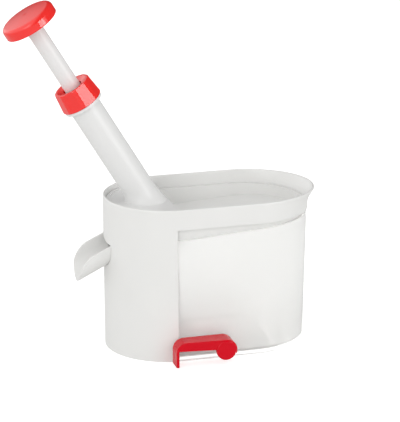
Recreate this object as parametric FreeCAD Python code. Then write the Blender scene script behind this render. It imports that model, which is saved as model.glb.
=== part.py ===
import FreeCAD, Part
import math
import os

os.makedirs("parts", exist_ok=True)

V = FreeCAD.Vector

# A hand cherry pitter: a stadium shaped body that stands on the table, a leaning
# plunger over a sloping seat, a hopper, a chute, a pit container and a suction foot.
# X runs along the body to the container, Y away from the lever, Z up.
# The origin is the centre of the suction foot on the table. All sizes are in mm.

# Body
body_height = 130.0
half_depth = 53.5
left_end = 84.5
right_end = 88.5
wall = 2.4
band_height = 17.0
flare_reach = 6.2
flare_height = 14.0
flare_steps = 6
rim_steps = 3
rim_round = 1.1
partition_x = -36.0
partition_rise = 14.0
ledge_width = 1.4
ledge_height = 3.0
ledge_gap = 6.5
lug_size = 5.0
lug_reach = 4.0
fit_gap = 0.3
press_gap = 0.05
slide_gap = 0.2

# Cover and guide tube
cover_recess = 5.0
cover_thickness = 2.5
cover_edge_x = -30.5
bead_width = 3.0
bead_height = 0.8
tube_tilt = 31.0
tube_foot_x = -48.9
tube_radius = 13.1
tube_wall = 1.7
tube_length = 104.0
tube_collar_radius = 16.7
tube_collar_height = 2.2
foot_flare_height = 17.0
foot_flare_side = 17.6
foot_flare_long = 17.9
foot_flare_steps = 6
shoulder_height = 2.0

# Cap nut and guide bush
nut_height = 17.0
nut_bottom_radius = 17.6
nut_top_radius = 15.8
nut_flats = 8
nut_flat_inset = 0.7
nut_turn = 16.4
nut_overlap = 2.2
nut_round = 0.8
nut_hole_gap = 1.2
nut_dish_radius = 13.4
nut_dish_depth = 1.6
bush_height = 5.5

# Plunger
stroke = 55.0
rod_radius = 7.1
stop_gap = 5.0
knob_radius = 23.0
knob_height = 11.0
knob_wall = 2.6
knob_crown = 160.0
knob_round = 4.0
knob_hub_radius = 10.0
knob_socket = 7.0
piston_height = 8.0
shank_radius = 3.2
shank_socket = 12.0
tip_radius = 4.4
tip_length = 26.0
tip_blade = 1.6
tip_hold = 8.0
spring_radius = 8.6
spring_wire = 0.7
spring_pitch = 6.8

# Cherry seat, stripper and pit nozzle
seat_drop = 34.5
seat_half_width = 15.0
seat_thickness = 2.2
seat_right = 12.0
seat_left = 14.0
seat_bore = 10.5
seat_headroom = 9.0
ring_hole = 6.2
ring_height = 3.2
nozzle_radius = 9.0
nozzle_bore = 7.4
nozzle_length = 13.0
stripper_drop = 8.0
stripper_radius = 8.1
stripper_bore = 5.2
stripper_flange = 2.0

# Hopper tray
tray_wall = 2.0
tray_lip_height = 2.5
tray_drop_side = 25.7
tray_drop_middle = 27.8
tray_vee_half = 60.0
tray_left_gap = 1.5
tray_rib_width = 2.0
tray_rib_drop = 46.0
tray_slope_side = 0.063
tray_slope_middle = 0.05

# Chute
chute_half_width = 14.0
chute_wall = 1.7
chute_slope = 26.0
chute_drop = 57.7
chute_reach = 24.2
chute_side = 23.0
chute_bend_back = 10.0
chute_edge_slope = 25.5
chute_bend_drop = 17.0
chute_lip_back = -0.6
chute_lean = 0.17
chute_headroom = 0.8

# Pit container
container_bottom_gap = 3.9
container_top_gap = 0.3
container_wall = 1.8
container_lift = 0.2
container_top_drop = 24.3
container_top_slope = 0.063
container_floor_z = 5.0
container_low_drop = 54.0
container_side_gap = 0.7
container_taper = 0.5
tunnel_gap = 1.4
step_gap = 1.2
slot_gap = 1.6

# Suction foot
plate_lift = 1.0
plate_thickness = 3.0
tongue_gap = 2.0
stud_radius = 2.2
cup_gap = 4.1
cup_hole_gap = 1.5
cup_lip = 1.0
cup_pad = 0.4
cup_pad_radius = 20.0
dome_height = 33.2
dome_wall = 2.4
dome_round = 12.0
flange_width = 5.5
flange_thickness = 2.5
screw_radius = 1.5
screw_head = 2.6
screw_head_height = 1.2
screw_length = 5.3
shaft_z = 12.5
shaft_radius = 3.5
cam_throw = 1.5
cam_half_width = 4.0
stem_half_x = 10.0
stem_half_y = 6.0
stem_roof = 2.9
stem_disc_radius = 14.0
stem_disc_height = 1.8
cup_lift = 2.2
bush_radius = 6.0
bush_length = 5.0
clip_radius = 6.0
clip_thickness = 1.2
clip_mouth = 1.6
clip_bite = 0.6
shaft_flat = 1.0
release_radius = 5.0
release_wire = 0.45
release_turns = 3

# Lever
lever_gap = 2.0
lever_depth = 15.0
lever_proud = 0.8
barrel_radius = 8.4
lever_rise = 0.8
lever_taper = 2.0
hub_radius = 5.6
disc_depth = 2.5
strip_end_angle = 20.0
lever_reach = 41.8
lever_strip = 2.3
lever_web_height = 8.3
lever_web_slant = 1.0
lever_corner = 9.0
lever_foot_z = 0.6
lever_web = 4.0
lever_socket = 3.0
lever_edge = 1.1

# Values that follow from those above
left_centre = half_depth - left_end
right_centre = right_end - half_depth
inner_radius = half_depth - wall
cover_top = body_height - cover_recess
cover_bottom = cover_top - cover_thickness
band_bottom = body_height - band_height
span = 2 * (left_end + right_end)
tray_floor_side = body_height - tray_drop_side
tray_floor_middle = body_height - tray_drop_middle
chute_floor_z = body_height - chute_drop
container_top_z = body_height - container_top_drop
container_bottom_end = right_end - container_bottom_gap
container_top_end = right_end - container_top_gap
container_low_wall = body_height - container_low_drop
tube_bore = tube_radius - tube_wall
tilt = math.radians(tube_tilt)
foot_point = V(tube_foot_x, 0.0, cover_top)
axis_up = V(-math.sin(tilt), 0.0, math.cos(tilt))
nut_bottom = tube_length - nut_overlap
nut_top = nut_bottom + nut_height
knob_bottom = nut_top + stroke + stop_gap
piston_top = tube_length - bush_height - 0.5
piston_bottom = piston_top - piston_height
spring_bottom = shoulder_height + stripper_flange
tip_end = -stripper_drop + 4.0
tongue_half_width = half_depth - container_side_gap - container_wall - tongue_gap
flange_radius = tongue_half_width
screw_circle = flange_radius - screw_head
dome_radius = flange_radius - flange_width
cup_radius = dome_radius - dome_wall - cup_gap
cup_hole = cup_radius + cup_hole_gap
stud_circle = (cup_hole + tongue_half_width) / 2
tunnel_height = dome_height + tunnel_gap
step_x = tongue_half_width + container_wall + step_gap
plate_top = plate_lift + plate_thickness
cup_top = cup_pad + cup_lift
cam_radius = shaft_radius + cam_throw + 0.6
cam_room = cam_radius + cam_throw + 0.3
stem_bottom = cup_top + press_gap
stem_top = shaft_z + cam_room + cup_lift + stem_roof
clip_y = dome_radius + 0.3
lever_back = -half_depth - lever_gap
lever_front = lever_back - lever_depth
lever_top = shaft_z + barrel_radius + lever_rise


def save(name, shape):
    """Writes one sub-part."""
    shape.exportStep("parts/" + name + ".step")


def box(x0, x1, y0, y1, z0, z1):
    return Part.makeBox(x1 - x0, y1 - y0, z1 - z0, V(x0, y0, z0))


def rod(radius, z0, z1, x=0.0, y=0.0):
    return Part.makeCylinder(radius, z1 - z0, V(x, y, z0))


def tube(outer, inner, z0, z1):
    return rod(outer, z0, z1).cut(rod(inner, z0 - 1.0, z1 + 1.0))


def prism_y(points, y0, y1):
    """A flat outline in X and Z, carried from y0 to y1."""
    corners = [V(x, y0, z) for x, z in points]
    wire = Part.makePolygon(corners + [corners[0]])
    return Part.Face(wire).extrude(V(0, y1 - y0, 0))


def lathe(points):
    """A closed outline of radius and height, turned about Z."""
    corners = [V(r, 0, z) for r, z in points]
    wire = Part.makePolygon(corners + [corners[0]])
    return Part.Face(wire).revolve(V(0, 0, 0), V(0, 0, 1), 360)


def on_axis(shape):
    """Carries a shape built about Z onto the leaning axis of the guide tube."""
    moved = shape.copy()
    moved.rotate(V(0, 0, 0), V(0, 1, 0), -tube_tilt)
    moved.translate(foot_point)
    return moved


def axis_point(distance):
    return foot_point + axis_up * distance


def stadium_wire(x_left, x_right, half, z, end_length=None):
    """Round ends on two straight sides; the right end may be drawn out to an ellipse."""
    length = half if end_length is None else end_length
    left = x_left + half
    right = x_right - length
    arc_left = Part.Arc(V(left, half, z), V(x_left, 0, z), V(left, -half, z)).toShape()
    bottom = Part.LineSegment(V(left, -half, z), V(right, -half, z)).toShape()
    if length > half + 0.001:
        curve = Part.Ellipse(V(right, 0, z), length, half)
        arc_right = Part.ArcOfEllipse(curve, -math.pi / 2, math.pi / 2).toShape()
    else:
        arc_right = Part.Arc(V(right, -half, z), V(x_right, 0, z), V(right, half, z)).toShape()
    top = Part.LineSegment(V(right, half, z), V(left, half, z)).toShape()
    return Part.Wire([arc_left, bottom, arc_right, top])


def stadium(x_left, x_right, half, z0, z1):
    face = Part.Face(stadium_wire(x_left, x_right, half, z0))
    return face.extrude(V(0, 0, z1 - z0))


def band_section(inset, reach, z):
    half = half_depth - inset
    return stadium_wire(-left_end + inset, right_end - inset + reach, half, z, half + reach)


def flare(inset, rounding, top):
    """The upper band, whose right end bends outwards up to a rounded rim."""
    low = body_height - flare_height
    rise = flare_height - rim_round
    sections = []
    for i in range(flare_steps + 1):
        share = i / flare_steps
        sections.append(band_section(inset, flare_reach * share ** 2, low + rise * share))
    for i in range(1, rim_steps + 1):
        angle = math.pi / 2 * i / rim_steps
        turned_in = rounding * (1.0 - math.cos(angle))
        height = low + rise + rim_round * math.sin(angle)
        sections.append(band_section(inset + turned_in, flare_reach, height))
    body = Part.makeLoft(sections, True, True)
    if top > body_height:
        body = body.fuse(Part.Face(sections[-1]).extrude(V(0, 0, top - body_height)))
    return body


def wall_lug(angle):
    """A small block on the inside of the wall, which the cover rests on."""
    reach = inner_radius - lug_reach
    low = cover_bottom - lug_size
    lug = box(reach, inner_radius + 0.5, -lug_size / 2, lug_size / 2, low, cover_bottom)
    lug.rotate(V(0, 0, 0), V(0, 0, 1), angle)
    lug.translate(V(left_centre, 0, 0))
    return lug


def make_housing():
    low = body_height - flare_height
    outside = stadium(-left_end, right_end, half_depth, 0, low)
    outside = outside.cut(box(partition_x, span, -span, span, -1, band_bottom))
    outside = outside.fuse(flare(0.0, rim_round, body_height))
    hollow = stadium(-left_end + wall, right_end - wall, inner_radius, -1, low)
    hollow = hollow.fuse(flare(wall, -rim_round, body_height + 1.0))
    shell = outside.cut(hollow)
    partition = box(partition_x - wall, partition_x, -inner_radius - 0.2, inner_radius + 0.2,
                    tunnel_height, container_low_wall + partition_rise)
    shell = shell.fuse(partition)
    shell = shell.cut(box(partition_x - 2 * wall, partition_x + wall, -seat_half_width - fit_gap,
                          seat_half_width + fit_gap, container_low_wall - 1.0, span))
    ledge_top = band_bottom + ledge_height
    ledge = stadium(-left_end + wall, right_end - wall, inner_radius, band_bottom, ledge_top)
    ledge = ledge.cut(stadium(-left_end, right_end - wall - ledge_width, inner_radius - ledge_width,
                              0, body_height))
    ledge = ledge.cut(box(-span, cover_edge_x + ledge_gap, -span, span, 0, span))
    shell = shell.fuse(ledge)
    for angle in (118, 180, 242):
        shell = shell.fuse(wall_lug(angle))
    opening = chute_section(chute_half_width + fit_gap)
    opening = opening.common(chute_profile(chute_headroom))
    return shell.cut(opening)


def wedge(lift):
    """Everything above the tray's shallow V floor, which falls to the left."""
    ends = []
    half = tray_vee_half
    for x in (-left_end, right_end):
        side = tray_floor_side + tray_slope_side * x + lift
        middle = tray_floor_middle + tray_slope_middle * x + lift
        corners = [V(x, -half, side), V(x, 0, middle), V(x, half, side),
                   V(x, half, span), V(x, -half, span)]
        ends.append(Part.makePolygon(corners + [corners[0]]))
    return Part.makeLoft(ends, True, True)


def make_tray():
    gap = fit_gap
    reach = right_end - wall - ledge_width - gap
    half = inner_radius - ledge_width - gap
    lip_bottom = band_bottom + ledge_height + 0.1
    lip_top = lip_bottom + tray_lip_height
    left_face = cover_edge_x + tray_left_gap
    floor_low = tray_floor_middle - 20.0
    cut_left = box(-span, left_face, -span, span, 0, span)
    outer = stadium(-left_end, reach, half, floor_low, lip_top).cut(cut_left)
    outer = outer.common(wedge(0.0))
    inner_cut = box(-span, left_face + tray_wall, -span, span, 0, span)
    inner = stadium(-left_end, reach - tray_wall, half - tray_wall, floor_low, span).cut(inner_cut)
    inner = inner.common(wedge(tray_wall))
    lip = stadium(-left_end, right_end - wall - gap, inner_radius - gap, lip_bottom, lip_top).cut(cut_left)
    tray = outer.fuse(lip).cut(inner)
    side = stadium(-left_end, reach, half, 0, lip_top)
    side = side.cut(stadium(-left_end, reach, half - tray_wall, 0, span))
    rib_left = partition_x + fit_gap
    ear = side.common(box(rib_left, left_face + 1, -span, span, 0, span)).common(wedge(0.0))
    rib_low = body_height - tray_rib_drop
    rib = side.common(box(rib_left, rib_left + tray_rib_width, -span, span, rib_low, span))
    tray = tray.fuse(ear).fuse(rib)
    mouth = box(-span, seat_edge()[0] + gap, -seat_half_width - gap, seat_half_width + gap, 0, span)
    return tray.cut(mouth).removeSplitter()


def seat_centre():
    return axis_point(-seat_drop)


def along_seat(distance):
    """A point of the seat's top face, measured up its slope from the middle."""
    centre = seat_centre()
    return (centre.x + distance * math.cos(tilt), centre.z + distance * math.sin(tilt))


def seat_edge():
    return along_seat(seat_right)


def ramp_end():
    """Where the ramp meets the chute, just inside the wall."""
    x = left_centre - math.sqrt(inner_radius ** 2 - seat_half_width ** 2) + 1.0
    return (x, chute_floor(x) + chute_wall + 0.4)


def chute_floor(x):
    """Height of the underside of the chute."""
    return chute_floor_z + math.tan(math.radians(chute_slope)) * (x + left_end)


def make_seat():
    high = seat_edge()
    low = along_seat(-seat_left)
    end = ramp_end()
    drop = seat_thickness / math.cos(tilt)
    step_x_left = cover_edge_x + 1.0
    floor = [high, low, end]
    under = [(end[0], end[1] - drop), (low[0], low[1] - drop), (high[0], high[1] - drop)]
    over = [(high[0], high[1] + 0.6), (step_x_left, high[1] + 0.6),
            (step_x_left, cover_bottom - seat_headroom),
            (low[0] - 6.0, cover_bottom - seat_headroom), (end[0], end[1] + chute_side - 1.0)]
    outline = prism_y(over + under, -seat_half_width, seat_half_width)
    right = high[0] + 5.0
    left = end[0] - 5.0
    inside = [high, (right, high[1]), (right, span), (left, span), (left, end[1]), end, low]
    inside = prism_y(inside, -seat_half_width + seat_thickness, seat_half_width - seat_thickness)
    seat = outline.cut(inside)
    return seat.cut(on_axis(rod(seat_bore, -seat_drop - 20, -seat_drop + 20)))


def make_seat_ring():
    """The soft ring that holds the fruit and lets the stone through."""
    top = -seat_drop + 1.0
    outer = seat_bore - press_gap
    ring = lathe([(ring_hole, top - ring_height), (outer, top - ring_height), (outer, top),
                  (outer - 1.2, top + 0.6), (ring_hole + 2.2, top - 1.0), (ring_hole, top - 1.8)])
    return on_axis(ring)


def make_nozzle():
    """The short pipe that leads the stones down into the container."""
    top = -seat_drop - ring_height + 1.0 - press_gap
    body = tube(nozzle_radius, nozzle_bore, top - nozzle_length, top)
    flange = tube(seat_bore - press_gap, nozzle_bore, top - 1.4, top)
    return on_axis(body.fuse(flange).removeSplitter())


def make_cover():
    gap = fit_gap + 0.1
    half = inner_radius - gap
    plate = stadium(-left_end + wall + gap, right_end, half, cover_bottom, cover_top)
    plate = plate.cut(box(cover_edge_x, span, -span, span, 0, span))
    bead = stadium(-left_end + wall + gap, right_end, half, cover_top - 0.5, cover_top + bead_height)
    bead = bead.cut(stadium(-left_end + wall + gap + bead_width, right_end, half - bead_width, 0, span))
    bead = bead.cut(box(cover_edge_x, span, -span, span, 0, span))
    pipe = on_axis(rod(tube_radius, foot_flare_height, tube_length))
    collar = on_axis(rod(tube_collar_radius, nut_bottom - 0.2 - tube_collar_height, nut_bottom - 0.2))
    body = plate.fuse(bead).fuse(pipe).fuse(collar).fuse(foot_flare())
    body = body.cut(on_axis(rod(tube_bore, shoulder_height, tube_length + 5)))
    body = body.cut(on_axis(rod(stripper_radius + press_gap, -30, tube_length)))
    return body.removeSplitter()


def ring_section(centre, long_radius, side_radius, lean):
    """An ellipse about a leaning axis, longer along the body than across it."""
    curve = Part.Ellipse(V(0, 0, 0), long_radius, side_radius)
    wire = Part.Wire([curve.toShape()])
    wire.rotate(V(0, 0, 0), V(0, 1, 0), -lean)
    wire.translate(centre)
    return wire


def foot_flare():
    """The skirt with which the guide tube spreads onto the cover."""
    low = V(tube_foot_x - 0.4, 0, cover_top - 0.6)
    top = axis_point(foot_flare_height)
    sections = []
    for i in range(foot_flare_steps):
        share = i / foot_flare_steps
        spread = (1.0 - share) ** 2.4
        long_now = tube_radius + (foot_flare_long - tube_radius) * spread
        side_now = tube_radius + (foot_flare_side - tube_radius) * spread
        centre = low * (1.0 - share) + top * share
        sections.append(ring_section(centre, long_now, side_now, tube_tilt * share))
    circle = Part.Circle(V(0, 0, foot_flare_height), V(0, 0, 1), tube_radius)
    sections.append(on_axis(Part.Wire([circle.toShape()])))
    return Part.makeLoft(sections, True, False)


def make_stripper():
    sleeve = tube(stripper_radius, stripper_bore, -stripper_drop, shoulder_height)
    flange = tube(tube_bore - 2 * press_gap, stripper_bore, shoulder_height, spring_bottom)
    return on_axis(sleeve.fuse(flange).removeSplitter())


def make_bush():
    """The ring that guides the rod, held down by the cap nut."""
    low = tube_length - bush_height
    ring = tube(tube_bore - press_gap, rod_radius + slide_gap, low, tube_length)
    flange = tube(tube_radius, rod_radius + slide_gap, tube_length, tube_length + 1.6)
    return on_axis(ring.fuse(flange).removeSplitter())


def flats_wire(radius, z):
    """An outline whose flat sides lie just inside a circle."""
    corner = (radius - nut_flat_inset) / math.cos(math.pi / nut_flats)
    points = []
    for i in range(nut_flats + 1):
        angle = math.radians(nut_turn) + 2 * math.pi * (i + 0.5) / nut_flats
        points.append(V(corner * math.cos(angle), corner * math.sin(angle), z))
    return Part.makePolygon(points)


def make_nut():
    """The cap nut: flats for the fingers, round corners and a slightly dished top."""
    sections = [flats_wire(nut_bottom_radius, nut_bottom), flats_wire(nut_top_radius, nut_top)]
    body = Part.makeLoft(sections, True, True)
    slight = 0.3 * nut_round
    round_cone = lathe([
        (0, nut_bottom), (nut_bottom_radius - nut_round, nut_bottom),
        (nut_bottom_radius - slight, nut_bottom + slight), (nut_bottom_radius, nut_bottom + nut_round),
        (nut_top_radius, nut_top - nut_round), (nut_top_radius - slight, nut_top - slight),
        (nut_top_radius - nut_round, nut_top), (0, nut_top),
    ])
    body = body.common(round_cone)
    inside = rod(tube_radius + fit_gap, nut_bottom - 1, tube_length + 1.6 + fit_gap)
    hole_radius = rod_radius + nut_hole_gap
    hole = rod(hole_radius, nut_bottom, nut_top + 1)
    dish = Part.makeCone(hole_radius, nut_dish_radius, nut_dish_depth, V(0, 0, nut_top - nut_dish_depth))
    return on_axis(body.cut(inside).cut(hole).cut(dish))


def make_knob():
    low = knob_bottom
    cap = rod(knob_radius, low, low + knob_height)
    top = low + knob_height
    ball = Part.makeSphere(knob_crown, V(0, 0, top - knob_crown))
    cap = cap.common(ball)
    cap = cap.makeFillet(knob_round, [e for e in cap.Edges if e.BoundBox.ZMin > top - 3.0])
    cap = cap.makeFillet(1.0, [e for e in cap.Edges if e.BoundBox.ZMax < low + 0.1])
    recess = rod(knob_radius - knob_wall, low - 1, low + knob_height - 2 * knob_wall)
    recess = recess.cut(rod(knob_hub_radius, low - 2, low + knob_height))
    socket = rod(rod_radius + press_gap, low - 1, low + knob_socket)
    return on_axis(cap.cut(recess).cut(socket))


def make_rod():
    body = rod(rod_radius, piston_bottom + 2.0, knob_bottom + knob_socket - press_gap)
    body = body.cut(rod(shank_radius + press_gap, 0, piston_bottom + 2.0 + shank_socket))
    return on_axis(body)


def make_piston():
    body = rod(tube_bore - slide_gap, piston_bottom, piston_top)
    body = body.cut(rod(rod_radius + press_gap, piston_bottom + 2.0 - press_gap, piston_top + 1))
    return on_axis(body.cut(rod(shank_radius + press_gap, 0, piston_top)))


def make_shank():
    top = piston_bottom + 2.0 + shank_socket - press_gap
    return on_axis(rod(shank_radius, tip_end + tip_length - tip_hold + press_gap, top))


def make_tip():
    """The cross shaped end that pushes the stone out."""
    top = tip_end + tip_length
    core = rod(tip_radius, tip_end + 2.0, top)
    point = Part.makeCone(tip_radius - 1.4, tip_radius, 2.0, V(0, 0, tip_end))
    body = core.fuse(point)
    reach = tip_radius + 1.0
    for x_side in (-1, 1):
        for y_side in (-1, 1):
            x0, x1 = sorted((x_side * tip_blade / 2, x_side * reach))
            y0, y1 = sorted((y_side * tip_blade / 2, y_side * reach))
            body = body.cut(box(x0, x1, y0, y1, tip_end - 1, tip_end + 13.0))
    body = body.cut(rod(shank_radius + press_gap, top - tip_hold, top + 1))
    return on_axis(body.removeSplitter())


def make_coil(radius, wire_radius, low, high, turns):
    """A coil spring, as one unbroken wire swept along quarter turns of a helix."""
    start = low + wire_radius
    length = high - low - 2 * wire_radius

    def point(turn):
        angle = 2 * math.pi * turn
        return V(radius * math.cos(angle), radius * math.sin(angle), start + length * turn / turns)

    arcs = []
    for i in range(4 * turns):
        arcs.append(Part.Arc(point(i / 4), point((i + 0.5) / 4), point((i + 1) / 4)).toShape())
    path = Part.Wire(arcs)
    circle = Part.Circle(point(0), path.Edges[0].tangentAt(path.Edges[0].FirstParameter), wire_radius)
    return path.makePipeShell([Part.Wire([circle.toShape()])], True, False)


def make_return_spring():
    turns = round((piston_bottom - spring_bottom) / spring_pitch)
    coil = make_coil(spring_radius, spring_wire, spring_bottom, piston_bottom, turns)
    return on_axis(coil)


def chute_section(radius):
    """A trough with a round floor and straight sides, along its own slope."""
    length = left_end + right_end
    across = Part.makeCylinder(radius, length, V(-length, 0, chute_half_width), V(1, 0, 0))
    above = box(-length, 0, -radius, radius, chute_half_width, length)
    trough = across.fuse(above)
    trough.rotate(V(0, 0, 0), V(0, 1, 0), -chute_slope)
    start_x = -left_end + 30.0
    trough.translate(V(start_x, 0, chute_floor(start_x)))
    return trough


def chute_profile(lift):
    """The side view of the spout: a sloping edge that bends down to a round lip."""
    start = ramp_end()[0] - fit_gap
    top_start = V(start, 0, chute_floor(start) + chute_side)
    tip_x = -left_end - chute_reach
    slope = math.tan(math.radians(chute_edge_slope))
    bend_start_x = tip_x + chute_bend_back
    bend_start = V(bend_start_x, 0, top_start.z + slope * (bend_start_x - start))
    bend_middle = V(tip_x + 3.2, 0, bend_start.z - chute_bend_drop + 9.6)
    bend_end = V(tip_x, 0, bend_start.z - chute_bend_drop)
    lip = V(tip_x + chute_lip_back, 0, chute_floor(tip_x) - 1.0)
    under = V(tip_x + chute_lip_back, 0, 0)
    back = V(start, 0, 0)
    edges = [
        Part.LineSegment(top_start, bend_start).toShape(),
        Part.Arc(bend_start, bend_middle, bend_end).toShape(),
        Part.LineSegment(bend_end, lip).toShape(),
        Part.LineSegment(lip, under).toShape(),
        Part.LineSegment(under, back).toShape(),
        Part.LineSegment(back, top_start).toShape(),
    ]
    face = Part.Face(Part.Wire(edges))
    low_side = -half_depth - chute_half_width
    face.translate(V(0, -half_depth, chute_lean * low_side + lift))
    return face.extrude(V(0, 2 * half_depth, 2 * half_depth * chute_lean))


def make_chute():
    outer = chute_section(chute_half_width).common(chute_profile(0.0))
    return outer.cut(chute_section(chute_half_width - chute_wall))


def container_body(inset, z0, z1):
    """The tapered outline of the container, a little narrower at the table."""
    sections = []
    for z in (z0, z1):
        share = z / body_height
        end = container_bottom_end + (container_top_end - container_bottom_end) * share - inset
        half = half_depth - container_side_gap + container_taper * share - inset
        sections.append(stadium_wire(-left_end, end, half, z))
    return Part.makeLoft(sections, True, True)


def make_container():
    left = partition_x + fit_gap
    top_left = container_top_z + container_top_slope * left
    top_right = container_top_z + container_top_slope * span
    keep = prism_y([(left, container_lift), (span, container_lift), (span, top_right), (left, top_left)],
                   -span, span)
    outer = container_body(0.0, container_lift, body_height).common(keep)
    inside = container_body(container_wall, container_lift - 1.0, body_height + 5.0)
    floor_high = tunnel_height + container_wall
    low_part = box(step_x, span, -span, span, container_floor_z, span)
    high_part = box(left + container_wall, step_x + 1, -span, span, floor_high, span)
    hollow = inside.common(low_part.fuse(high_part))
    under = box(-span, step_x - container_wall, -span, span, -5, tunnel_height)
    floor_low = container_floor_z - container_wall
    under = under.fuse(box(step_x - container_wall - 1, span, -span, span, -5, floor_low))
    tunnel = inside.common(under)
    body = outer.cut(hollow).cut(tunnel)
    body = body.cut(box(left - 1, left + container_wall + 1, -half_depth + container_wall + 1,
                        half_depth - container_wall - 1, container_low_wall, span))
    slot_half = shaft_radius + slot_gap
    slot = box(left - 1, slot_half, -span, 0, shaft_z - slot_half, shaft_z + slot_half)
    return body.cut(slot).removeSplitter()


def make_base_plate():
    low = plate_lift
    high = plate_top
    half = inner_radius - fit_gap
    plate = stadium(-left_end + wall + fit_gap, right_end, half, low, high)
    plate = plate.cut(box(partition_x - wall, span, -span, span, 0, span))
    tongue = box(partition_x - wall - 1, 0, -tongue_half_width, tongue_half_width, low, high)
    plate = plate.fuse(tongue).fuse(rod(tongue_half_width, low, high))
    plate = plate.cut(rod(cup_hole, 0, span))
    for angle in (-75, 0, 75):
        x = stud_circle * math.cos(math.radians(angle))
        y = stud_circle * math.sin(math.radians(angle))
        plate = plate.fuse(rod(stud_radius, 0.0, low + 0.5, x, y))
    for x, y in screw_places():
        plate = plate.cut(rod(screw_radius + fit_gap, 0, span, x, y))
        plate = plate.cut(rod(screw_head + fit_gap, 0, low + screw_head_height + 0.2, x, y))
    return plate.removeSplitter()


def screw_places():
    reach = screw_circle * math.sqrt(0.5)
    return [(x * reach, y * reach) for x in (-1, 1) for y in (-1, 1)]


def dome_solid(radius, top):
    body = rod(radius, plate_top, top)
    edges = [e for e in body.Edges if e.BoundBox.ZMin > top - 0.1]
    return body.makeFillet(dome_round, edges)


def make_dome():
    flange_top = plate_top + flange_thickness
    dome = dome_solid(dome_radius, dome_height).fuse(rod(flange_radius, plate_top, flange_top))
    dome = dome.cut(dome_solid(dome_radius - dome_wall, dome_height - dome_wall))
    for side in (-1, 1):
        boss = Part.makeCylinder(bush_radius + 2.4, bush_length, V(0, side * (dome_radius - 1), shaft_z),
                                 V(0, -side, 0))
        dome = dome.fuse(boss)
    dome = dome.cut(Part.makeCylinder(bush_radius + press_gap, 2 * dome_radius + 4,
                                      V(0, -dome_radius - 2, shaft_z), V(0, 1, 0)))
    for x, y in screw_places():
        dome = dome.cut(rod(screw_radius + press_gap, 0, 2 * flange_top, x, y))
    return dome.removeSplitter()


def make_foot_screws():
    low = plate_lift + 0.1
    screws = []
    for x, y in screw_places():
        head = rod(screw_head, low, low + screw_head_height, x, y)
        screws.append(head.fuse(rod(screw_radius, low, low + screw_length, x, y)).removeSplitter())
    return Part.makeCompound(screws)


def along_y(radius, y0, y1, z=shaft_z):
    return Part.makeCylinder(radius, y1 - y0, V(0, y0, z), V(0, 1, 0))


def make_shaft():
    front = lever_front + lever_socket
    back = dome_radius + clip_thickness + 3.0
    body = along_y(shaft_radius, front, back)
    flat = box(-shaft_radius, shaft_radius, front - 1, lever_back + 0.5,
               shaft_z + shaft_radius - shaft_flat, shaft_z + 2 * shaft_radius)
    body = body.cut(flat)
    groove = along_y(shaft_radius + 1, clip_y, clip_y + clip_thickness + 0.2)
    groove = groove.cut(along_y(shaft_radius - clip_bite, -span, span))
    return body.cut(groove)


def make_clip():
    """A snap ring that keeps the shaft from sliding out."""
    low = clip_y + 0.1
    ring = along_y(clip_radius, low, low + clip_thickness)
    ring = ring.cut(along_y(shaft_radius - clip_bite + press_gap, -span, span))
    return ring.cut(box(-clip_mouth, clip_mouth, 0, span, 0, shaft_z))


def make_bushes():
    rings = []
    for side in (-1, 1):
        y0, y1 = sorted((side * (dome_radius + 0.1), side * (dome_radius + 0.1 - bush_length)))
        rings.append(along_y(bush_radius, y0, y1).cut(along_y(shaft_radius + press_gap, -span, span)))
    return Part.makeCompound(rings)


def make_cam():
    """An eccentric on the shaft, which lifts the stem of the cup."""
    disc = along_y(cam_radius, -cam_half_width, cam_half_width, shaft_z + cam_throw)
    return disc.cut(along_y(shaft_radius + press_gap, -span, span))


def make_stem():
    low = stem_bottom
    reach = cam_room
    disc = rod(stem_disc_radius, low, low + stem_disc_height)
    block = box(-stem_half_x, stem_half_x, -stem_half_y, stem_half_y, low + 0.5, stem_top)
    window = box(-reach, reach, -span, span, shaft_z - reach, shaft_z + reach + cup_lift)
    return disc.fuse(block).cut(window).removeSplitter()


def make_cup():
    """The rubber cup: a flat underside, a thin lip and a thicker middle under the stem."""
    top = cup_top
    return lathe([(0, 0), (cup_radius - 0.5, 0), (cup_radius, 0.3), (cup_radius, cup_lip),
                  (cup_radius - 6, cup_lip + 1.0), (cup_pad_radius, top), (0, top)])


def make_release_spring():
    high = dome_height - dome_wall - press_gap
    return make_coil(release_radius, release_wire, stem_top, high, release_turns)


def lever_outline(offset):
    """The strip's side view, drawn inwards by an offset: leg, corner, arm and the bend at the barrel."""
    left = -lever_reach + offset
    top = lever_top - offset
    corner = lever_corner - offset
    bend = barrel_radius + lever_rise - offset
    slant = math.radians(45.0)
    end = -math.radians(strip_end_angle)
    middle = (math.pi / 2 + end) / 2

    def on_corner(angle):
        return V(left + corner - corner * math.cos(angle), 0, top - corner + corner * math.sin(angle))

    def on_bend(angle):
        return V(bend * math.cos(angle), 0, shaft_z + bend * math.sin(angle))

    return [
        Part.LineSegment(V(left, 0, lever_foot_z), on_corner(0.0)).toShape(),
        Part.Arc(on_corner(0.0), on_corner(slant), on_corner(math.pi / 2)).toShape(),
        Part.LineSegment(on_corner(math.pi / 2), on_bend(math.pi / 2)).toShape(),
        Part.Arc(on_bend(math.pi / 2), on_bend(middle), on_bend(end)).toShape(),
    ]


def carried(edges, y0, y1):
    """A closed row of edges in X and Z, carried from y0 to y1."""
    face = Part.Face(Part.Wire(edges))
    face.translate(V(0, y0, 0))
    return face.extrude(V(0, y1 - y0, 0))


def lever_narrowing():
    """The slice by which the arm's front draws back towards its free end."""
    far = -lever_reach - 1.0
    front = lever_front - 1.0
    corners = [V(far, front, -1), V(far, lever_front + lever_taper, -1),
               V(-barrel_radius, lever_front, -1), V(-barrel_radius, front, -1)]
    return Part.Face(Part.makePolygon(corners + [corners[0]])).extrude(V(0, 0, body_height))


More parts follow.
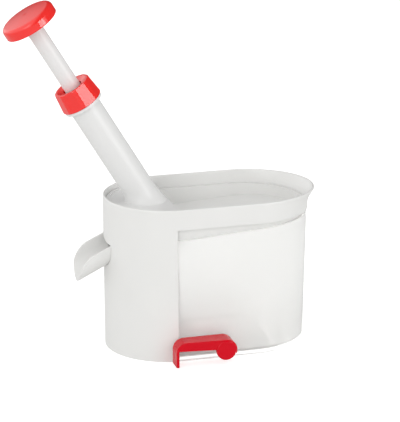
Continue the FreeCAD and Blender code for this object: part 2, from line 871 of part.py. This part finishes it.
def make_lever():
    """A bent strip with a web below it, closed by a disc and a hub that turns the shaft."""
    outer = lever_outline(0.0)
    inner = lever_outline(lever_strip)
    end_out, end_in = outer[-1].Vertexes[-1].Point, inner[-1].Vertexes[-1].Point
    foot_out, foot_in = outer[0].Vertexes[0].Point, inner[0].Vertexes[0].Point
    closing = [Part.LineSegment(end_out, end_in).toShape(), Part.LineSegment(foot_in, foot_out).toShape()]
    strip = carried(outer + [closing[0]] + inner[::-1] + [closing[1]], lever_front, lever_back)
    web_bottom = lever_top - lever_web_height
    web = prism_y([(0, lever_top), (-lever_reach, lever_top), (-lever_reach, web_bottom + lever_web_slant),
                   (0, web_bottom)], lever_front, lever_front + lever_web)
    base = [Part.LineSegment(end_out, V(end_out.x, 0, lever_foot_z)).toShape(),
            Part.LineSegment(V(end_out.x, 0, lever_foot_z), foot_out).toShape()]
    web = web.common(carried(outer + base, lever_front, lever_back))
    disc = along_y(barrel_radius, lever_front - lever_proud, lever_front + disc_depth)
    disc = disc.makeFillet(lever_edge, [e for e in disc.Edges if e.BoundBox.YMax < lever_front])
    hub = along_y(hub_radius, lever_front, lever_back)
    arm = strip.fuse(web).cut(lever_narrowing())
    lever = arm.fuse(disc).fuse(hub).removeSplitter()
    hole = along_y(shaft_radius + press_gap, lever_front + lever_socket - press_gap, lever_back + 5)
    flat_z = shaft_z + shaft_radius - shaft_flat + press_gap
    flat = box(-span, span, lever_front, lever_back + 5, flat_z, span)
    return lever.cut(hole.cut(flat))


makers = {
    "housing": make_housing,
    "hopper_tray": make_tray,
    "top_cover": make_cover,
    "guide_bush": make_bush,
    "cap_nut": make_nut,
    "stripper": make_stripper,
    "cherry_seat": make_seat,
    "seat_ring": make_seat_ring,
    "pit_nozzle": make_nozzle,
    "chute": make_chute,
    "pit_container": make_container,
    "plunger_knob": make_knob,
    "plunger_rod": make_rod,
    "guide_piston": make_piston,
    "plunger_shank": make_shank,
    "pitting_tip": make_tip,
    "return_spring": make_return_spring,
    "base_plate": make_base_plate,
    "vacuum_dome": make_dome,
    "foot_screws": make_foot_screws,
    "cam_shaft": make_shaft,
    "shaft_bushes": make_bushes,
    "shaft_clip": make_clip,
    "lift_cam": make_cam,
    "cup_stem": make_stem,
    "suction_cup": make_cup,
    "release_spring": make_release_spring,
    "lever": make_lever,
}

for name, maker in makers.items():
    shape = maker()
    print(name, shape.isValid(), len(shape.Solids), round(shape.Volume))
    save(name, shape)
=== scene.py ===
import math
import bpy
from mathutils import Matrix, Vector


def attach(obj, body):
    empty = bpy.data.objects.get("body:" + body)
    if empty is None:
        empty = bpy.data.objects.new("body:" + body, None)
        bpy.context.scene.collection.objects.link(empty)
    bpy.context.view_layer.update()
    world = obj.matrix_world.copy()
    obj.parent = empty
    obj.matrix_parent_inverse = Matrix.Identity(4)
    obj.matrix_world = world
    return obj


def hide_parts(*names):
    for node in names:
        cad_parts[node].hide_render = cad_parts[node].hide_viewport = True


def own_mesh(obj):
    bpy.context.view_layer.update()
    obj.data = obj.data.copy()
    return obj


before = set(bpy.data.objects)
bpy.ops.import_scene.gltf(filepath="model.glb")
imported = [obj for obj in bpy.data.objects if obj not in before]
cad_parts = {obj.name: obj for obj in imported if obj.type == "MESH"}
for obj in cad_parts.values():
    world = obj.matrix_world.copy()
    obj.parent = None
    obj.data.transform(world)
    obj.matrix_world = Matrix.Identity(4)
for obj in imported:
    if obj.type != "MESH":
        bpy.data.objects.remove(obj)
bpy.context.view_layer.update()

millimetre = 0.001
white = (1.0, 1.0, 1.0, 1.0)
print("stage: frame loaded,", len(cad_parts), "nodes")


def addToScene(thing):
    bpy.context.scene.collection.objects.link(thing)


# the camera looks from where the photograph was taken
camera = {
    "azimuth": -15.2,           # degrees, seen from the front left
    "elevation": 16.9,          # degrees above the table
    "roll": -0.35,              # degrees
    "distance": 2000.0,         # millimetres from the aim
    "aim": (5.2, 29.4, 102.2),  # millimetres, the point at the picture's centre
    "pixelsPerMillimetre": 1.18,
    "imageHeight": 422,         # pixels
    "sensorHeight": 24.0,       # millimetres
    "farthest": 50.0,           # metres, nothing beyond is drawn
}


def placeCamera(settings):
    turn = math.radians(-settings["azimuth"])
    rise = math.radians(settings["elevation"])
    roll = math.radians(settings["roll"])
    right = Vector((math.cos(turn), -math.sin(turn), 0))
    back = Vector((
        -math.sin(turn) * math.cos(rise),
        -math.cos(turn) * math.cos(rise),
        math.sin(rise),
    ))
    up = back.cross(right)
    rolledRight = right * math.cos(roll) + up * math.sin(roll)
    rolledUp = up * math.cos(roll) - right * math.sin(roll)
    place = (Vector(settings["aim"]) + back * settings["distance"]) * millimetre
    focal = settings["pixelsPerMillimetre"] * settings["distance"] / settings["imageHeight"]
    data = bpy.data.cameras.new("camera")
    data.sensor_fit = "VERTICAL"
    data.sensor_height = settings["sensorHeight"]
    data.lens = focal * settings["sensorHeight"]
    data.clip_end = settings["farthest"]
    body = bpy.data.objects.new("camera", data)
    body.matrix_world = Matrix((
        (rolledRight.x, rolledUp.x, back.x, place.x),
        (rolledRight.y, rolledUp.y, back.y, place.y),
        (rolledRight.z, rolledUp.z, back.z, place.z),
        (0, 0, 0, 1),
    ))
    addToScene(body)
    bpy.context.scene.camera = body


placeCamera(camera)
bpy.context.scene.view_settings.view_transform = "Standard"
print("stage: camera placed")


def isNumber(thing):
    return isinstance(thing, (int, float))


def isValue(thing):
    return isNumber(thing) or (isinstance(thing, Wire) and thing.socket.type == "VALUE")


def spread(thing):
    return (thing, thing, thing) if isNumber(thing) else thing


# shader maths: a wire holds a node's output, and sums on wires add the nodes
class Wire:
    def __init__(self, tree, socket):
        self.tree = tree
        self.socket = socket

    # another output of the same node
    def sibling(self, name):
        return Wire(self.tree, self.socket.node.outputs[name])

    def combine(self, operation, first, second):
        settings = {"operation": operation}
        if isValue(first) and isValue(second):
            return self.tree.node("ShaderNodeMath", settings, {0: first, 1: second})
        return self.tree.node("ShaderNodeVectorMath", settings, {0: spread(first), 1: spread(second)})

    def atLeast(self, other):
        return self.combine("MAXIMUM", self, other)

    def __add__(self, other):
        return self.combine("ADD", self, other)

    def __radd__(self, other):
        return self.combine("ADD", other, self)

    def __sub__(self, other):
        return self.combine("SUBTRACT", self, other)

    def __rsub__(self, other):
        return self.combine("SUBTRACT", other, self)

    def __mul__(self, other):
        return self.combine("MULTIPLY", self, other)

    def __rmul__(self, other):
        return self.combine("MULTIPLY", other, self)


class Tree:
    def __init__(self, owner):
        owner.use_nodes = True
        self.nodes = owner.node_tree.nodes
        self.links = owner.node_tree.links
        self.nodes.clear()

    # the wire that comes back starts at the named output
    def node(self, kind, settings=None, inputs=None, output=0):
        made = self.nodes.new(kind)
        for name, value in (settings or {}).items():
            setattr(made, name, value)
        for name, value in (inputs or {}).items():
            if isinstance(value, Wire):
                self.links.new(value.socket, made.inputs[name])
            else:
                made.inputs[name].default_value = value
        return Wire(self, made.outputs[output]) if len(made.outputs) else None

    # a Mix node takes its two colours at inputs 6 and 7, and gives the mixed one at output 2
    def mix(self, factor, first, second):
        return self.node("ShaderNodeMix", {"data_type": "RGBA"}, {0: factor, 6: first, 7: second}, 2)

    def noise(self, where, scale, detail=2.0):
        return self.node("ShaderNodeTexNoise", {}, {"Vector": where, "Scale": scale, "Detail": detail})

    # rises smoothly from 0 to 1 as the value passes a place
    def step(self, value, place, blur):
        return self.node("ShaderNodeMapRange", {"interpolation_type": "SMOOTHSTEP"}, {
            "Value": value,
            "From Min": place - blur,
            "From Max": place + blur,
            "To Min": 0.0,
            "To Max": 1.0,
        })

    def bump(self, grain, facts):
        return self.node("ShaderNodeBump", {}, {
            "Height": grain,
            "Strength": facts["grain"],
            "Distance": facts["grainDepth"],
        })


# colours are written as on a screen, 0 to 255, and turned into linear light by the sRGB curve
def linear(red, green, blue):
    def one(level):
        level = level / 255.0
        return level / 12.92 if level <= 0.04045 else ((level + 0.055) / 1.055) ** 2.4
    return (one(red), one(green), one(blue), 1.0)


def toned(colour, factor):
    return tuple(min(1.0, level * factor) for level in colour[:3]) + (1.0,)


def startMaterial(name):
    material = bpy.data.materials.new(name)
    tree = Tree(material)
    where = tree.node("ShaderNodeTexCoord", output="Object")
    return material, tree, where


# what all the opaque plastics share; noise scales are per metre
moulding = {
    "cloudSize": 34.0,      # the broad, faint changes of tone
    "cloudRough": 0.06,     # how much they change the roughness
    "grainRough": 0.05,     # and how much the fine grain does
    "grainDepth": 0.0004,   # metres
}

# each opaque plastic; a low ior keeps its reflections weak
finishes = {
    "whiteShell": {
        "colour": (232, 232, 230), "tone": 0.02, "roughness": 0.36, "ior": 1.46,
        "grain": 0.03, "grainSize": 1400.0,
    },
    "whiteTube": {
        "colour": (229, 229, 228), "tone": 0.015, "roughness": 0.38, "ior": 1.42,
        "grain": 0.02, "grainSize": 1400.0,
    },
    "redKnob": {
        "colour": (243, 50, 46), "tone": 0.04, "roughness": 0.09, "ior": 1.5,
        "grain": 0.015, "grainSize": 900.0,
    },
    "redLever": {
        "colour": (211, 0, 28), "tone": 0.04, "roughness": 0.20, "ior": 1.28,
        "grain": 0.02, "grainSize": 900.0,
    },
    "softRing": {
        "colour": (214, 212, 208), "tone": 0.04, "roughness": 0.62, "ior": 1.42,
        "grain": 0.06, "grainSize": 2200.0,
    },
}


def mouldedPlastic(name):
    facts = {**moulding, **finishes[name]}
    material, tree, where = startMaterial(name)
    clouds = tree.noise(where, facts["cloudSize"])
    grain = tree.noise(where, facts["grainSize"])
    colour = linear(*facts["colour"])
    skin = tree.mix(clouds, toned(colour, 1 - facts["tone"]), toned(colour, 1 + facts["tone"]))
    middle = (facts["cloudRough"] + facts["grainRough"]) / 2
    rough = clouds * facts["cloudRough"] + grain * facts["grainRough"] + (facts["roughness"] - middle)
    shader = tree.node("ShaderNodeBsdfPrincipled", {}, {
        "Base Color": skin,
        "Roughness": rough,
        "Normal": tree.bump(grain, facts),
        "IOR": facts["ior"],
    })
    tree.node("ShaderNodeOutputMaterial", {}, {"Surface": shader})
    return material


# the pit container's wall; heights and places are in metres
frosted = {
    "colour": (253, 253, 252),
    "tone": 0.985,              # the darkest clouds, as a share of the colour
    "cloudSize": 22.0,
    "cloudRough": 0.05,
    "roughness": 0.45,
    "grain": 0.06,
    "grainSize": 2600.0,
    "grainDepth": 0.0003,
    "clear": 0.70,              # share of the light that passes through
    "ior": 1.2,
    # the colour that the painted shade darkens the wall towards
    "paintedShadeColour": (196, 194, 192),
    "glowColour": (66, 66, 66), # a little glow stands for light scattered inside the wall
    "paintedRimHighlightHeights": (0.0012, 0.0034), # a painted highlight runs along the foot's rim between these
    "paintedRimHighlightStrength": 0.45,
    "paintedShadeLineTop": 0.0058,          # a painted shade line runs from the rim up to here
    "lineShade": 0.5,
    "lineBlur": 0.0006,
    "paintedLowShadeHeight": 0.034,        # painted shade darkens the wall below this
    "paintedLowShadeStrength": 0.17,
    "paintedLowShadeBlur": 0.026,
    "paintedEndShadePlace": 0.088,          # and painted shade darkens it to the right of this, towards the rounded end
    "paintedEndShadeStrength": 0.16,
    "paintedEndShadeBlur": 0.008,
}

# the container's inner step and roof, which barely show through the wall; places in metres
frostedCore = {
    "clear": 0.97,
    "ior": 1.03,
    "stepPlaces": (0.045, 0.065),   # the step stands between these, along the body
    "roofHeights": (0.028, 0.040),  # the roof lies between these
    "squareness": 0.9,              # how nearly a face looks along the body, or up or down
}


def frostedPlastic(name, clear, ior):
    material, tree, where = startMaterial(name)
    clouds = tree.noise(where, frosted["cloudSize"])
    grain = tree.noise(where, frosted["grainSize"])
    colour = linear(*frosted["colour"])
    rough = clouds * frosted["cloudRough"] + (frosted["roughness"] - frosted["cloudRough"] / 2)
    along = tree.node("ShaderNodeSeparateXYZ", {}, {"Vector": where}, "X")
    height = along.sibling("Z")
    low, high = frosted["paintedRimHighlightHeights"]
    blur = frosted["lineBlur"]
    # painted highlight: a bright band along the foot's rim
    paintedRimHighlight = tree.step(height, low, blur) * (1 - tree.step(height, high, blur))
    # painted shade: a darker line just above the rim
    paintedShadeLine = tree.step(height, high + blur, blur) * (1 - tree.step(height, frosted["paintedShadeLineTop"], blur))
    # painted shade: the lower wall is darker
    paintedLowShade = 1 - tree.step(height, frosted["paintedLowShadeHeight"], frosted["paintedLowShadeBlur"])
    # painted shade: the wall is darker towards the rounded end
    paintedEndShade = tree.step(along, frosted["paintedEndShadePlace"], frosted["paintedEndShadeBlur"])
    # all the painted shade, summed and mixed into the wall's colour
    paintedShade = paintedShadeLine * frosted["lineShade"] + paintedLowShade * frosted["paintedLowShadeStrength"] + paintedEndShade * frosted["paintedEndShadeStrength"]
    skin = tree.mix(clouds, toned(colour, frosted["tone"]), colour)
    skin = tree.mix(paintedShade, skin, linear(*frosted["paintedShadeColour"]))
    # painted light: a faint glow over the whole wall, and the painted highlight along the foot's rim
    glow = tree.mix(paintedRimHighlight, linear(*frosted["glowColour"]), toned(white, frosted["paintedRimHighlightStrength"]))
    shader = tree.node("ShaderNodeBsdfPrincipled", {}, {
        "Base Color": skin,
        "Roughness": rough,
        "Normal": tree.bump(grain, frosted),
        "IOR": ior,
        "Transmission Weight": clear,
        "Emission Color": glow,
        "Emission Strength": 1.0,
    })
    tree.node("ShaderNodeOutputMaterial", {}, {"Surface": shader})
    return material


# springs, pins, shaft and screws
metal = {
    "colour": (206, 208, 210),
    "tone": 0.9,            # the darkest streaks, as a share of the colour
    "streakSize": 900.0,    # noise scale, per metre
    "streakDetail": 3.0,
    "roughness": 0.24,
    "scratch": 0.10,        # added to the roughness in the lightest streaks
}


def brightSteel(name):
    material, tree, where = startMaterial(name)
    streaks = tree.noise(where, metal["streakSize"], metal["streakDetail"])
    colour = linear(*metal["colour"])
    shader = tree.node("ShaderNodeBsdfPrincipled", {}, {
        "Base Color": tree.mix(streaks, toned(colour, metal["tone"]), colour),
        "Metallic": 1.0,
        "Roughness": streaks * metal["scratch"] + metal["roughness"],
    })
    tree.node("ShaderNodeOutputMaterial", {}, {"Surface": shader})
    return material


materials = {name: mouldedPlastic(name) for name in finishes}
materials["frostedContainer"] = frostedPlastic("frostedContainer", frosted["clear"], frosted["ior"])
materials["frostedCore"] = frostedPlastic("frostedCore", frostedCore["clear"], frostedCore["ior"])
materials["steel"] = brightSteel("steel")
print("stage:", len(materials), "materials made")

wears = {
    "whiteShell": (
        "housing", "hopper_tray", "cherry_seat", "pit_nozzle", "chute", "base_plate", "vacuum_dome",
        "shaft_bushes", "lift_cam", "cup_stem", "stripper", "guide_bush", "guide_piston",
    ),
    "whiteTube": ("top_cover", "plunger_rod"),
    "redKnob": ("plunger_knob", "cap_nut"),
    "redLever": ("lever",),
    "softRing": ("seat_ring", "suction_cup"),
    "frostedContainer": ("pit_container",),
    "steel": (
        "plunger_shank", "pitting_tip", "return_spring", "release_spring", "foot_screws", "cam_shaft",
        "shaft_clip",
    ),
}


def dressNodes():
    for name, members in wears.items():
        for member in members:
            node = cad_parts[member]
            node.data.materials.clear()
            node.data.materials.append(materials[name])


# gives the step and the roof inside the container their clearer finish
def dressContainerCore():
    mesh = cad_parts["pit_container"].data
    coreSlot = len(mesh.materials)
    mesh.materials.append(materials["frostedCore"])
    near, far = frostedCore["stepPlaces"]
    low, high = frostedCore["roofHeights"]
    square = frostedCore["squareness"]
    for face in mesh.polygons:
        isStep = abs(face.normal.x) > square and near < face.center.x < far
        isRoof = abs(face.normal.z) > square and low < face.center.z < high
        if isStep or isRoof:
            face.material_index = coreSlot


# small rounds on the edges that catch the light, with widths in millimetres
softEdges = {
    "widths": {
        "lever": 0.5, "cap_nut": 0.35, "plunger_knob": 0.3, "hopper_tray": 0.4, "pit_container": 0.3,
    },
    "segments": 3,
    "roundedOver": 40.0,    # degrees, edges that turn more are rounded
    "smoothUnder": 28.0,    # degrees, faces that meet at less are shaded as one
}


def softenEdges():
    for name, width in softEdges["widths"].items():
        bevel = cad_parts[name].modifiers.new("softEdges", "BEVEL")
        bevel.width = width * millimetre
        bevel.segments = softEdges["segments"]
        bevel.limit_method = "ANGLE"
        bevel.angle_limit = math.radians(softEdges["roundedOver"])
        bevel.harden_normals = True


def smoothNodes():
    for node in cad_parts.values():
        for face in node.data.polygons:
            face.use_smooth = True
        node.data.set_sharp_from_angle(angle=math.radians(softEdges["smoothUnder"]))


dressNodes()
dressContainerCore()
softenEdges()
smoothNodes()
print("stage: nodes dressed")


# pieces that stand in for their nodes, copied and fixed to the frame, with lengths in millimetres
squeezed = {
    "returnCoil": {
        "node": "return_spring", "slot": "steel", "joint": "plunger_slide",
        "length": 86.0,     # of the coil at rest
        "travel": 55.0,     # what the joint takes from it
        "foot": (-50.96, 0.0, 128.43),  # the coil's lower end, which stays
    },
    "cupSkin": {
        "node": "suction_cup", "slot": "soft_rubber", "joint": "cup_lift",
        "length": 2.6,      # the cup's height at rest
        "travel": 2.2,      # how far it flattens
        "foot": (0.0, 0.0, 0.0),
    },
}


def makeSqueezed(name, facts):
    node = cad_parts[facts["node"]]
    piece = bpy.data.objects.new(name, node.data.copy())
    piece.matrix_world = node.matrix_world.copy()
    addToScene(piece)
    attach(piece, "frame")
    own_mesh(piece)
    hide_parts(facts["node"])


for name, facts in squeezed.items():
    makeSqueezed(name, facts)


# a pale floor that stays white in the picture and keeps a soft shadow
ground = {
    "colour": (236, 236, 235),
    "tone": 0.985,          # the darkest clouds, as a share of the colour
    "cloudSize": 3.0,       # noise scale, per metre
    "glow": 0.60,           # seen by the camera only
    "size": 8.0,            # metres
}


def makeFloor():
    half = ground["size"] / 2
    corners = [(-half, -half, 0), (half, -half, 0), (half, half, 0), (-half, half, 0)]
    mesh = bpy.data.meshes.new("floor")
    mesh.from_pydata(corners, [], [(0, 1, 2, 3)])
    floor = bpy.data.objects.new("floor", mesh)
    addToScene(floor)
    material, tree, where = startMaterial("floor")
    colour = linear(*ground["colour"])
    clouds = tree.noise(where, ground["cloudSize"])
    matte = tree.node("ShaderNodeBsdfDiffuse", {}, {
        "Color": tree.mix(clouds, toned(colour, ground["tone"]), colour),
    })
    seen = tree.node("ShaderNodeLightPath", output="Is Camera Ray")
    glow = tree.node("ShaderNodeEmission", {}, {"Color": white, "Strength": seen * ground["glow"]})
    both = tree.node("ShaderNodeAddShader", {}, {0: matte, 1: glow})
    tree.node("ShaderNodeOutputMaterial", {}, {"Surface": both})
    mesh.materials.append(material)


# the light all around, which is white behind the pitter
surround = {
    "horizon": 1.20,        # strength from the sides
    "zenith": 0.66,         # and from straight above
    "mirrorLeft": 1.8,      # what glossy faces see on the left
    "mirrorRight": 0.04,    # and on the right
    "mirrorTurn": -0.17,    # where the one fades into the other, from -1 at the left to 1
    "mirrorBlur": 0.28,
    "through": 1.12,        # what the frosted wall lets in
}


def makeSurround():
    world = bpy.data.worlds.new("studio")
    bpy.context.scene.world = world
    tree = Tree(world)
    seen = tree.node("ShaderNodeLightPath", output="Is Camera Ray")
    glossy = seen.sibling("Is Glossy Ray")
    through = seen.sibling("Is Transmission Ray")
    heading = tree.node("ShaderNodeTexCoord", output="Generated")
    across = tree.node("ShaderNodeSeparateXYZ", {}, {"Vector": heading}, "X")
    upward = across.sibling("Z").atLeast(0.0)
    soft = surround["horizon"] - upward * (surround["horizon"] - surround["zenith"])
    fade = tree.step(across, surround["mirrorTurn"], surround["mirrorBlur"])
    mirror = fade * (surround["mirrorRight"] - surround["mirrorLeft"]) + surround["mirrorLeft"]
    lit = glossy * mirror + (1 - glossy) * soft
    shown = seen.atLeast(through * surround["through"])
    strength = shown + (1 - seen.atLeast(through)) * lit
    sky = tree.node("ShaderNodeBackground", {}, {"Color": white, "Strength": strength})
    tree.node("ShaderNodeOutputWorld", {}, {"Surface": sky})


# square lamps, in metres and watts; only glossy faces see the card
lamps = {
    "key": {
        "place": (-1.9, -2.4, 1.2), "target": (0.0, 0.0, 0.1),
        "size": 1.4, "power": 14.0, "mirroredOnly": False,
    },
    "fill": {
        "place": (2.3, -1.9, 0.9), "target": (0.0, 0.0, 0.1),
        "size": 1.2, "power": 8.0, "mirroredOnly": False,
    },
    "card": {
        "place": (0.64, -0.94, 0.32), "target": (-0.10, 0.0, 0.22),
        "size": 0.50, "power": 5.0, "mirroredOnly": True,
    },
}


def makeLamp(name, facts):
    data = bpy.data.lights.new(name, "AREA")
    data.shape = "SQUARE"
    data.size = facts["size"]
    data.energy = facts["power"]
    lamp = bpy.data.objects.new(name, data)
    lamp.location = facts["place"]
    aim = Vector(facts["target"]) - Vector(facts["place"])
    lamp.rotation_euler = aim.to_track_quat("-Z", "Y").to_euler()
    lamp.visible_diffuse = not facts["mirroredOnly"]
    lamp.visible_transmission = not facts["mirroredOnly"]
    addToScene(lamp)


makeFloor()
makeSurround()
for name, facts in lamps.items():
    makeLamp(name, facts)
print("stage: studio lit")
